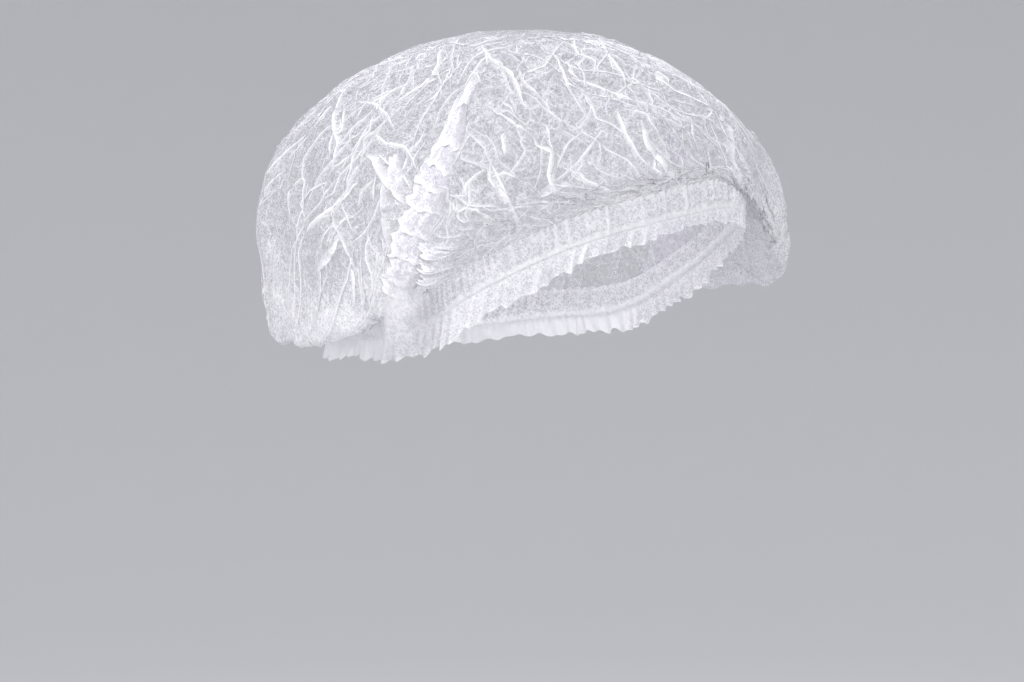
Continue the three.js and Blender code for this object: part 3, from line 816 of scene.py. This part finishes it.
def fan_grid(side):
    """The bunched sheet below the flaps: it spreads from its top in soft pleats down to the hem's edge."""
    u, v = np.meshgrid(np.linspace(0, 1, 60), np.linspace(1, 0, 40))
    (turn_a, row_a), (turn_b, row_b) = [on_sheet(pixel) for pixel in FAN_TOP]
    top_turn = side * (turn_a + (turn_b - turn_a) * u)
    top_row = row_a + (row_b - row_a) * u
    foot_turn = side * (FAN_FOOT[0] + (FAN_FOOT[1] - FAN_FOOT[0]) * u)
    top = sheet.place(top_turn, top_row) + sheet.normal(top_turn, top_row) * 2 * MM
    hang = frill_depth(foot_turn[0]) * (0.95 + 0.1 * np.sin(13 * u[0]) + 0.05 * np.sin(31 * u[0]))
    foot = beside_rim(foot_turn, 2.6 * MM + 0 * u, -hang)
    share = v[..., None] ** 0.85
    warp = u + 0.12 * v + 0.05 * np.sin(11 * u + 2) + 0.04 * np.sin(5 * v + 5 * u)
    pleat = np.abs(np.sin(FAN_PLEATS * math.pi * warp)) * (0.5 + 0.5 * np.sin(7 * u + 1))
    swell = FAN_SWELL * np.sin(math.pi * v**0.75) + (1.5 * v + 0.2) * (pleat - 0.5)
    swell = swell + 0.5 * np.sin(8 * v + 6 * u) * v
    places = top * (1 - share) + foot * share + outward(foot_turn) * (swell * MM)[..., None]
    # Painted light: the fan is whitened all over, part its bunched density and part painted light over the
    # shade it lies in, with painted highlights on the pleats' crests and more white towards its top.
    shade = 0.42 + 0.5 * pleat**3 + 0.1 * (1 - v)
    left = u - 0.05 - 0.05 * np.sin(8 * v + 1)
    right = 1 - u - 0.12 * np.sin(9 * v) ** 2
    cover = np.clip(left / 0.3, 0, 1) * np.clip(right / 0.5, 0, 1) * np.clip(v / 0.2, 0, 1)
    return places, shade, cover


def make_flaps(name, side):
    """All flaps of one side and the fan below them. side is 1 on the photograph's side, -1 on the other."""
    grids = [flap_grid(corners, number, side) for number, corners in enumerate(FLAPS.values())]
    grids.append(fan_grid(side))
    parts, spots, shades, covers = [], [], [], []
    for number, (places, shade, cover) in enumerate(grids):
        if side < 0:
            places, shade, cover = places[:, ::-1], shade[:, ::-1], cover[:, ::-1]
        parts.append(grid_piece(f"{name}_{number}", places, closed_round=False))
        spots.append(places.reshape(-1, 3))
        shades.append(shade.reshape(-1))
        covers.append(cover.reshape(-1))
    piece = joined(name, parts)
    paint_near(piece, "crease", np.concatenate(spots), np.concatenate(shades))
    paint_near(piece, "cover", np.concatenate(spots), np.concatenate(covers))
    return piece


# Finishes

def plain_material(name, roughness):
    """A new material, its node tree and its shader."""
    material = bpy.data.materials.new(name)
    material.use_nodes = True
    shader = material.node_tree.nodes["Principled BSDF"]
    shader.inputs["Roughness"].default_value = roughness
    return material, material.node_tree, shader


def node(tree, kind, **inputs):
    """A new node with its inputs set by name."""
    made = tree.nodes.new(kind)
    for name, value in inputs.items():
        made.inputs[name.replace("_", " ")].default_value = value
    return made


FIBRE_LAYERS = ((290, 0.0, 0.046), (370, 3.1, 0.05), (460, 7.7, 0.05))  # scale, seed and width of each


def fibre_lines(tree, place, scale, seed, width):
    """Thin curly fibres: the places where a soft noise passes its middle value."""
    shift = node(tree, "ShaderNodeMapping")
    shift.inputs["Location"].default_value = (seed, seed * 0.7, -seed)
    soft = node(tree, "ShaderNodeTexNoise", Scale=scale, Detail=1.5, Roughness=0.45, Distortion=0.6)
    tree.links.new(place, shift.inputs["Vector"])
    tree.links.new(shift.outputs["Vector"], soft.inputs["Vector"])
    off = node(tree, "ShaderNodeMath")
    off.operation = "SUBTRACT"
    off.inputs[1].default_value = 0.5
    tree.links.new(soft.outputs["Fac"], off.inputs[0])
    away = node(tree, "ShaderNodeMath")
    away.operation = "ABSOLUTE"
    tree.links.new(off.outputs[0], away.inputs[0])
    line = node(tree, "ShaderNodeMapRange")
    line.inputs["From Min"].default_value = width
    line.inputs["From Max"].default_value = 0.0
    line.clamp = True
    tree.links.new(away.outputs[0], line.inputs["Value"])
    return line.outputs["Result"]


def combine(tree, operation, first, second):
    """One arithmetic step on two values, each a number or a socket."""
    made = node(tree, "ShaderNodeMath")
    made.operation = operation
    for socket, value in zip(made.inputs, (first, second)):
        if isinstance(value, (int, float)):
            socket.default_value = value
        else:
            tree.links.new(value, socket)
    return made.outputs[0]


FIBRE_WHITE = (0.95, 0.945, 0.97)
CLOUD_SCALE, CLOUD_DRIFT = 95, 0.4  # the thick and thin places of the sheet
CREASE_DENSE = 0.75  # the opacity that a full crease adds
MOST_DENSE = 0.99


def nonwoven(name, sheer, dense, tint, fades=False):
    """Spunbond sheet. sheer: opacity between the fibres; dense: what a fibre adds; fades: it thins out by the
    piece's cover."""
    material, tree, shader = plain_material(name, 0.8)
    place = node(tree, "ShaderNodeTexCoord").outputs["Object"]
    fibres = None
    for scale, seed, width in FIBRE_LAYERS:
        line = fibre_lines(tree, place, scale, seed, width)
        fibres = line if fibres is None else combine(tree, "MAXIMUM", fibres, line)
    cloud = node(tree, "ShaderNodeTexNoise", Scale=CLOUD_SCALE, Detail=3, Roughness=0.6)
    tree.links.new(place, cloud.inputs["Vector"])
    crease = node(tree, "ShaderNodeAttribute")
    crease.attribute_name = "crease"
    opacity = combine(tree, "MULTIPLY", fibres, dense)
    opacity = combine(tree, "ADD", opacity, sheer)
    drift = combine(tree, "MULTIPLY", combine(tree, "SUBTRACT", cloud.outputs["Fac"], 0.5), CLOUD_DRIFT)
    opacity = combine(tree, "ADD", opacity, drift)
    opacity = combine(tree, "ADD", opacity, combine(tree, "MULTIPLY", crease.outputs["Fac"], CREASE_DENSE))
    if fades:
        cover = node(tree, "ShaderNodeAttribute")
        cover.attribute_name = "cover"
        opacity = combine(tree, "MULTIPLY", opacity, cover.outputs["Fac"])
    limit = node(tree, "ShaderNodeClamp")
    limit.inputs["Min"].default_value = 0.0
    limit.inputs["Max"].default_value = MOST_DENSE
    tree.links.new(opacity, limit.inputs["Value"])
    tree.links.new(limit.outputs["Result"], shader.inputs["Alpha"])
    colour = node(tree, "ShaderNodeMix")
    colour.data_type = "RGBA"
    colour_from, colour_to = [s for s in colour.inputs if s.type == "RGBA"]
    colour_from.default_value = (*tint, 1)
    colour_to.default_value = (*FIBRE_WHITE, 1)
    # The base colour whitens with the fibres and with the crease attribute, which carries painted highlights
    # and painted light besides the sheet's extra density.
    lightness = combine(tree, "ADD", combine(tree, "MULTIPLY", fibres, 0.7), crease.outputs["Fac"])
    tree.links.new(lightness, colour.inputs["Factor"])
    tree.links.new([s for s in colour.outputs if s.type == "RGBA"][0], shader.inputs["Base Color"])
    bump = node(tree, "ShaderNodeBump", Strength=0.4, Distance=0.0003)
    tree.links.new(fibres, bump.inputs["Height"])
    tree.links.new(bump.outputs["Normal"], shader.inputs["Normal"])
    return material


def elastic_finish():
    """A white thread, finely mottled."""
    material, tree, shader = plain_material("elastic", 0.55)
    place = node(tree, "ShaderNodeTexCoord").outputs["Object"]
    wound = node(tree, "ShaderNodeTexNoise", Scale=900, Detail=2)
    tree.links.new(place, wound.inputs["Vector"])
    ramp = node(tree, "ShaderNodeValToRGB")
    ramp.color_ramp.elements[0].color = (0.86, 0.86, 0.88, 1)
    ramp.color_ramp.elements[1].color = (0.98, 0.98, 0.99, 1)
    tree.links.new(wound.outputs["Fac"], ramp.inputs["Fac"])
    tree.links.new(ramp.outputs["Color"], shader.inputs["Base Color"])
    bump = node(tree, "ShaderNodeBump", Strength=0.4, Distance=0.0002)
    tree.links.new(wound.outputs["Fac"], bump.inputs["Height"])
    tree.links.new(bump.outputs["Normal"], shader.inputs["Normal"])
    return material


# The studio

FLOOR_DROP = 0.45  # how far the floor lies below the cap
BOWL = (1.8, 3.8, 3.4)  # where the floor begins to bend up, where its wall stands and how high
STUDIO_GREY = (0.66, 0.66, 0.675)
SKY_TINT, SKY_STRENGTH = (0.93, 0.94, 1.0), 0.6


def add_stage():
    """A seamless pale floor that bends up into a wall all round the cap."""
    mesh = bmesh.new()
    bend, wall, top = BOWL
    profile = [(0, 0), (bend, 0)]
    for k in range(1, 17):
        angle = math.pi / 2 * k / 16
        profile.append((bend + (wall - bend) * math.sin(angle), (wall - bend) * (1 - math.cos(angle))))
    profile.append((wall, top))
    low = cad_box[0].z - FLOOR_DROP
    line = [mesh.verts.new((reach, 0, low + height)) for reach, height in profile]
    edges = [mesh.edges.new(pair) for pair in zip(line, line[1:])]
    bmesh.ops.spin(mesh, geom=line + edges, cent=(0, 0, 0), axis=(0, 0, 1), angle=2 * math.pi, steps=72)
    bmesh.ops.remove_doubles(mesh, verts=mesh.verts, dist=1e-5)
    bmesh.ops.recalc_face_normals(mesh, faces=mesh.faces)
    for face in mesh.faces:
        face.smooth = True
    floor = made_object("floor", mesh)
    material, _, shader = plain_material("floor", 0.9)
    shader.inputs["Base Color"].default_value = (*STUDIO_GREY, 1)
    floor.data.materials.append(material)
    world = bpy.data.worlds.new("studio")
    world.use_nodes = True
    sky = world.node_tree.nodes["Background"].inputs
    sky["Color"].default_value = (*SKY_TINT, 1)
    sky["Strength"].default_value = SKY_STRENGTH
    bpy.context.scene.world = world
    bpy.context.scene.view_settings.view_transform = "Standard"
    bpy.context.scene.cycles.transparent_max_bounces = 40  # sight passes through many layers of sheer sheet


def add_light(name, place, size, power):
    """A square lamp that faces the cap."""
    light = bpy.data.lights.new(name, "AREA")
    light.size = size
    light.energy = power
    lamp = bpy.data.objects.new(name, light)
    bpy.context.scene.collection.objects.link(lamp)
    lamp.location = place
    lamp.rotation_euler = Vector(place).to_track_quat("Z", "Y").to_euler()


# Each lamp's place, size and power
LAMPS = {
    "key": (-RIGHT * 1.1 + BACK * 0.9 + UP * 1.5, 0.7, 21),
    "fill": (BACK * 2.4 + RIGHT * 1.2 + UP * 0.5, 1.2, 25),
    "side": (-RIGHT * 1.9 + BACK * 1.1 + UP * 0.1, 0.9, 6),
    "top": (UP * 2.0 - BACK * 0.8 + RIGHT * 0.5, 1.2, 14),
}
add_camera()
add_stage()
for name, (place, size, power) in LAMPS.items():
    add_light(name, place, size, power)

LAVENDER = (0.72, 0.70, 0.78)
PALE = (0.84, 0.83, 0.88)
sheet_finish = nonwoven("nonwoven", 0.03, 0.46, LAVENDER)
hem_finish = nonwoven("nonwoven_hem", 0.42, 0.36, PALE)
fold_finish = nonwoven("nonwoven_folded", 0.56, 0.24, LAVENDER, fades=True)

crown_sheet = make_crown_sheet()
pinched_folds = make_folds(crown_sheet)
hem_casing = make_casing()
hem_frill = make_frill()
thread = make_elastic()
flaps_right = make_flaps("pleat_flaps_right", 1)
flaps_left = make_flaps("pleat_flaps_left", -1)

for piece, material, stands_for, slot in (
    (crown_sheet, sheet_finish, "crown", "nonwoven"),
    (pinched_folds, fold_finish, "crown", "nonwoven"),
    (hem_casing, hem_finish, "rim_casing", "nonwoven_hem"),
    (hem_frill, hem_finish, "rim_frill", "nonwoven_hem"),
    (thread, elastic_finish(), "elastic_loop", "elastic"),
    (flaps_right, fold_finish, "pleat_stack_right", "nonwoven"),
    (flaps_left, fold_finish, "pleat_stack_left", "nonwoven"),
):
    piece.data.materials.append(material)
    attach(piece, "root")
    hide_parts(stands_for)
